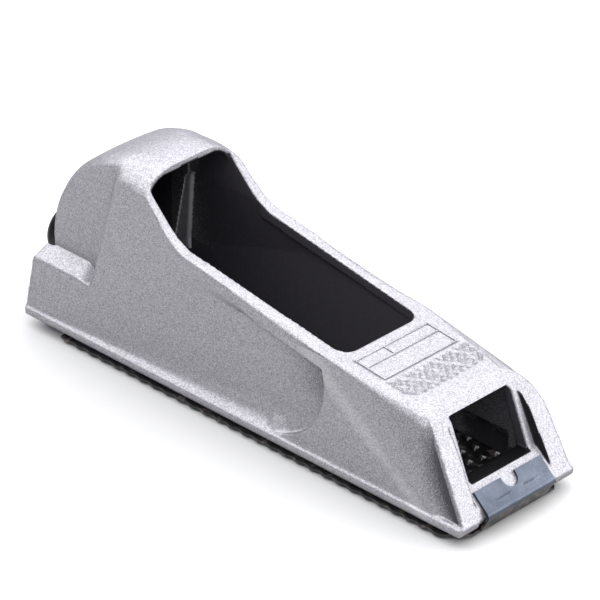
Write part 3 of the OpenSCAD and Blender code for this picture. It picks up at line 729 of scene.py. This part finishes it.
# %% The strip's outline, and the sheet between it and the teeth
WAVE, WAVE_LENGTH, CUT_CORNER = 0.6, 4.7, 5
POINTS_IN_WAVE = 8
HALF_HOOK, HALF_NOTCH = 12.1, 2.5
HOOK_ROWS = (0, 0.9, 1.8, 2.2, 2.44, HALF_NOTCH, 2.53, 3.6, 5.8, 8.1, 9, HALF_HOOK)
hook_y = [-y for y in HOOK_ROWS[:0:-1]] + list(HOOK_ROWS)
steps = POINTS_IN_WAVE * round((STRIP_FRONT - STRIP_REAR) / WAVE_LENGTH)
edge = []
for i in range(steps + 1):
    x = STRIP_REAR + (STRIP_FRONT - STRIP_REAR) * i / steps
    if x < STRIP_FRONT - CUT_CORNER:
        wave = 0.5 - 0.5 * math.cos(math.tau * i / POINTS_IN_WAVE)
        edge.append((x, HALF_STRIP + WAVE * wave))
front_y = [CUT_CORNER - HALF_STRIP] + hook_y + [HALF_STRIP - CUT_CORNER]
front = [(STRIP_FRONT, y) for y in front_y]
rear = [(STRIP_REAR, y) for y in reversed(hook_y)]
outline = [(x, -y) for x, y in edge] + front + list(reversed(edge)) + rear
bpy.ops.object.select_all(action="DESELECT")
bpy.ops.mesh.primitive_circle_add(vertices=len(outline), radius=0.1)
blade = bpy.context.object
blade.name = "punched_rasp_blade"
for vertex, (x, y) in zip(blade.data.vertices, outline):
    vertex.co = place(x, y, UNDERSIDE)
rim = blade.vertex_groups.new(name="rim")
rim.add(range(len(outline)), 1, "REPLACE")
join(blade, teeth)
bpy.ops.object.mode_set(mode="EDIT")
bpy.ops.mesh.select_mode(type="VERT")
bpy.ops.mesh.select_all(action="DESELECT")
bpy.ops.object.vertex_group_set_active(group="rim")
bpy.ops.object.vertex_group_select()
bpy.ops.mesh.fill(use_beauty=True)
bpy.ops.object.mode_set(mode="OBJECT")


def face_up(piece, below=1.0):
    """Turns a sheet's faces one way, and that way up for those that lie lower than this height."""
    take(piece)
    bpy.ops.object.mode_set(mode="EDIT")
    bpy.ops.mesh.select_all(action="SELECT")
    bpy.ops.mesh.normals_make_consistent(inside=False)
    bpy.ops.object.mode_set(mode="OBJECT")
    if sum(face.normal.z * face.area for face in piece.data.polygons if face.center.z < below) < 0:
        piece.data.flip_normals()


face_up(blade)
print("sheet:", round(sum(face.area for face in blade.data.polygons) * 1e6), "square mm in",
      len(blade.data.polygons), "faces")

# %% [markdown]
# Each end of the strip rises at 60 degrees, turns over the bar, and comes back as a lip with a
# half-round notch, where a fingertip pushes it off. The edge of the strip is extruded once for
# each step of that path. Two short creases, pressed in on both sides of the notch, stiffen the
# lip.

# %% The path of a hook
BEND_RADIUS, BEND_HEIGHT, REACH = 1.3, 6.0, 1.443
RISE, LIP_SLOPE, LIP = math.radians(60), math.radians(42.5), 6.4
CREASE_AT, CREASE_HEIGHT, CREASE_START, CREASE_END = 2.2, 0.2, 2, 8.5
NOTCH_FROM = 2.8
LIP_STEPS = (1.4, CREASE_AT - 0.3, CREASE_AT, CREASE_AT + 0.3, NOTCH_FROM, 3.7, 4.6, 5.5, LIP)
BEND_STEPS = 7


def lip_point(distance, lift=0):
    """A place on the lip, from the bend's centre: so far along it, and so far above it."""
    return ((BEND_RADIUS + lift) * math.sin(LIP_SLOPE) - distance * math.cos(LIP_SLOPE),
            (BEND_RADIUS + lift) * math.cos(LIP_SLOPE) + distance * math.sin(LIP_SLOPE))


def notch_edge(y):
    """How long the lip is at this distance from its middle, with the notch cut out of it."""
    y = abs(y)
    if y > HALF_NOTCH + 0.01:
        return LIP
    return LIP - 1 - math.sqrt(max(0, HALF_NOTCH ** 2 - y ** 2))


turn = math.pi - RISE - LIP_SLOPE
angles = [RISE - math.pi / 2 + turn * k / BEND_STEPS for k in range(BEND_STEPS + 1)]
hook_path = [(BEND_RADIUS * math.cos(a), BEND_RADIUS * math.sin(a)) for a in angles]
hook_path += [lip_point(distance) for distance in LIP_STEPS]
print("a hook has", len(hook_path), "steps and turns by", round(math.degrees(turn)), "degrees")

# %% Both hooks, and the steel's thickness
def draw_hook(end, bend, way):
    """Extrudes the strip's edge at x = end into a hook round a bend; way is -1 at the heel."""
    take(blade)
    bpy.ops.object.mode_set(mode="EDIT")
    bpy.ops.mesh.select_all(action="DESELECT")
    bpy.ops.object.mode_set(mode="OBJECT")
    for vertex in blade.data.vertices:
        x, y = vertex.co.x * 1000 + MIDDLE, vertex.co.y * 1000
        vertex.select = abs(x - end) < 0.01 and abs(y) < HALF_HOOK + 0.01
    bpy.ops.object.mode_set(mode="EDIT")
    at = (way * (end - bend), UNDERSIDE - BEND_HEIGHT)
    for step in hook_path:
        move = (way * (step[0] - at[0]) / 1000, 0, (step[1] - at[1]) / 1000)
        bpy.ops.mesh.extrude_region_move(TRANSFORM_OT_translate={"value": move})
        at = step
    bpy.ops.object.mode_set(mode="OBJECT")
    for vertex in blade.data.vertices:
        x, y, z = way * (vertex.co.x * 1000 + MIDDLE - bend), vertex.co.y * 1000, vertex.co.z * 1000
        distance = (z - BEND_HEIGHT - BEND_RADIUS * math.cos(LIP_SLOPE)) / math.sin(LIP_SLOPE)
        if abs(x) > 9 or distance < 0.5:
            continue
        if distance > NOTCH_FROM + 0.01:
            shorter = (notch_edge(y) - NOTCH_FROM) / (LIP - NOTCH_FROM)
            x, z = lip_point(NOTCH_FROM + (distance - NOTCH_FROM) * shorter)
        elif abs(distance - CREASE_AT) < 0.05 and CREASE_START < abs(y) < CREASE_END:
            x, z = lip_point(distance, CREASE_HEIGHT)
        else:
            continue
        vertex.co = place(bend + way * x, y, BEND_HEIGHT + z)


draw_hook(STRIP_FRONT, STRIP_FRONT + REACH, 1)
draw_hook(STRIP_REAR, STRIP_REAR - REACH, -1)
face_up(blade, below=0.0012)
shape(blade, "SOLIDIFY", thickness=THICK / 1000, offset=1, use_even_offset=True)
bpy.ops.object.shade_smooth_by_angle(angle=math.radians(32))
heights = [v.co.z * 1000 for v in blade.data.vertices]
print("blade:", len(blade.data.polygons), "faces, from", round(min(heights), 2), "to",
      round(max(heights), 2), "mm high")

# %% [markdown]
# ## Steel
# The screw's head is black oxide; the washer, clip, shoe and nut are plain turned or cut steel
# under a thin bright zinc plating; the blade is spring steel, blued in the heat. Each gets a fine
# streak or grain from a stretched noise, 0.25 to 1.7 mm from line to line, and broad clouds of
# 5 to 6 mm, so no face is one flat tone.

# %% Steel finishes
CLOUDS_PER_METRE, STREAK_DEPTH = 180, 0.00001


def steel(name, dark, light, rough, streak):
    """Metal with fine streaks: streak gives how many lines a metre has along x, y and z."""
    made, bsdf = material(name)
    where = add(made, "ShaderNodeTexCoord").outputs["Object"]
    stretched = add(made, "ShaderNodeVectorMath", {0: where, 1: streak}, operation="MULTIPLY")
    lines = add(made, "ShaderNodeTexNoise",
                {"Vector": stretched.outputs["Vector"], "Scale": 1, "Detail": 3})
    cloud = add(made, "ShaderNodeTexNoise",
                {"Vector": where, "Scale": CLOUDS_PER_METRE, "Detail": 3})
    blend = add(made, "ShaderNodeMath", {0: lines.outputs["Fac"], 1: cloud.outputs["Fac"]},
                operation="MULTIPLY")
    tone = add(made, "ShaderNodeValToRGB", {"Fac": blend.outputs["Value"]})
    set_tones(tone, dark, light, 0.1, 0.45)
    bump = add(made, "ShaderNodeBump",
               {"Height": lines.outputs["Fac"], "Distance": STREAK_DEPTH, "Strength": 0.4})
    feed(made, bsdf, {"Base Color": tone.outputs["Color"], "Normal": bump.outputs["Normal"],
                      "Metallic": 1, "Roughness": rough})
    return made


black_oxide = steel("black_oxide_steel", "#141416", "#2b2b2f", 0.4, (3000, 3000, 3000))
bright = steel("zinc_plated_steel", "#8f9092", "#c2c4c6", 0.32, (600, 4000, 4000))
finishes = {"tension_screw": black_oxide, "head_washer": bright, "retaining_clip": bright,
            "tension_shoe": bright, "screw_nut": bright}
for node, finish in finishes.items():
    for material_slot in frame["nodes"][node].material_slots:
        material_slot.material = finish
print("steel finishes on", len(finishes), "solids")

# %% [markdown]
# The bluing is a grey-blue satin metal on the hooks. Along the strip the steel is painted nearly
# black, as the shade under the body and under the bends together with oil and wood dust, and it has
# brown specks of dust with painted glints among them, a little more of them at the toe. The change
# comes at a height just above the strip, made uneven by patches.

# %% Blued blade, painted dark with shade and grime along the strip
PATCHES_PER_METRE, PATCH_HEIGHT = 420, 0.002
BLUE_FROM, BLUE_TO = 0.0061, 0.0068
blued = steel("blued_spring_steel", "#424751", "#606671", 0.42, (900, 4000, 4000))
blade_shader = blued.node_tree.nodes["Principled BSDF"]
blue = blade_shader.inputs["Base Color"].links[0].from_socket
where = add(blued, "ShaderNodeTexCoord").outputs["Object"]
patches = add(blued, "ShaderNodeTexNoise",
              {"Vector": where, "Scale": PATCHES_PER_METRE, "Detail": 4}).outputs["Fac"]
spot = add(blued, "ShaderNodeSeparateXYZ", {"Vector": where}).outputs
patchy_height = add(blued, "ShaderNodeMath", {0: patches, 1: PATCH_HEIGHT, 2: spot["Z"]},
            operation="MULTIPLY_ADD")
blue_share = add(blued, "ShaderNodeMapRange",
            {"Value": patchy_height.outputs["Value"], "From Min": BLUE_FROM,
             "From Max": BLUE_TO}).outputs["Result"]
front_end = add(blued, "ShaderNodeMapRange",
                {"Value": spot["X"], "From Min": 0.0755, "From Max": 0.0775, "To Max": 0.06})
speck_level = add(blued, "ShaderNodeMath", {0: patches, 1: front_end.outputs["Result"]},
            operation="ADD")
# Near-black painted shade with oil and dust, up to brown specks with painted glints.
shade_and_grime = add(blued, "ShaderNodeValToRGB", {"Fac": speck_level.outputs["Value"]})
set_tones(shade_and_grime, "#0e0e10", "#8a7d78", 0.55, 0.9)
finish = add(blued, "ShaderNodeMix", {0: blue_share, 6: shade_and_grime.outputs["Color"], 7: blue},
             data_type="RGBA")
# Below this height the strip's darkness is painted shade with oil and dust.
print("no oil above", BLUE_TO * 1000, "mm, nor up to", PATCH_HEIGHT * 1000, "mm lower in patches")

# %% [markdown]
# The faces that the punch sheared, inside the tooth windows, have no bluing. They catch the light
# as the short white glints that show through the window in the nose. Here they are drawn pale,
# not mirror-bright, because the dark well leaves them nothing bright to mirror. They are found by
# where they are and how they stand: low, nearly upright, and clear of the strip's own edges and
# ends.

# %% Bare sheared edges
UPRIGHT, INSIDE_EDGES, TEETH_MIDDLE, TEETH_REACH, SHEARED_BELOW = 0.4, 0.0192, 0.0035, 0.0655, 0.002
face_way = add(blued, "ShaderNodeNewGeometry").outputs["Normal"]
slope = add(blued, "ShaderNodeSeparateXYZ", {"Vector": face_way}).outputs
sheared = add(blued, "ShaderNodeMath", {0: slope["Z"], 1: 0, 2: UPRIGHT}, operation="COMPARE")
inner = add(blued, "ShaderNodeMath", {0: spot["Y"], 1: 0, 2: INSIDE_EDGES}, operation="COMPARE")
midway = add(blued, "ShaderNodeMath", {0: spot["X"], 1: TEETH_MIDDLE, 2: TEETH_REACH},
             operation="COMPARE")
low = add(blued, "ShaderNodeMath", {0: spot["Z"], 1: SHEARED_BELOW}, operation="LESS_THAN")
punched_edge = sheared.outputs["Value"]
for limit in (inner, midway, low):
    punched_edge = add(blued, "ShaderNodeMath", {0: punched_edge, 1: limit.outputs["Value"]},
                       operation="MULTIPLY").outputs["Value"]
cut = add(blued, "ShaderNodeMix", {0: punched_edge, 6: finish.outputs[2], 7: colour("#f2f2f4")},
          data_type="RGBA")
feed(blued, blade_shader, {"Base Color": cut.outputs[2], "Metallic": blue_share})
blade.data.materials.append(blued)
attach(blade, "casting")
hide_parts("rasp_blade")
print("the blade's steel has", len(blued.node_tree.nodes), "nodes")

# %% [markdown]
# ## The floor
# A matt pale sweep, with the faintest cloudiness that any painted board has, a third of a metre
# from cloud to cloud.

# %% Floor finish
sweep, board = material("matt_painted_board")
board_place = add(sweep, "ShaderNodeTexCoord").outputs["Object"]
cloudy = add(sweep, "ShaderNodeTexNoise", {"Vector": board_place, "Scale": 3, "Detail": 2})
tones = add(sweep, "ShaderNodeValToRGB", {"Fac": cloudy.outputs["Fac"]})
set_tones(tones, "#b0b0b1", "#b6b6b6")
feed(sweep, board, {"Base Color": tones.outputs["Color"], "Roughness": 0.9})
floor.data.materials.append(sweep)
print("floor of", round(floor.dimensions.x, 1), "m")
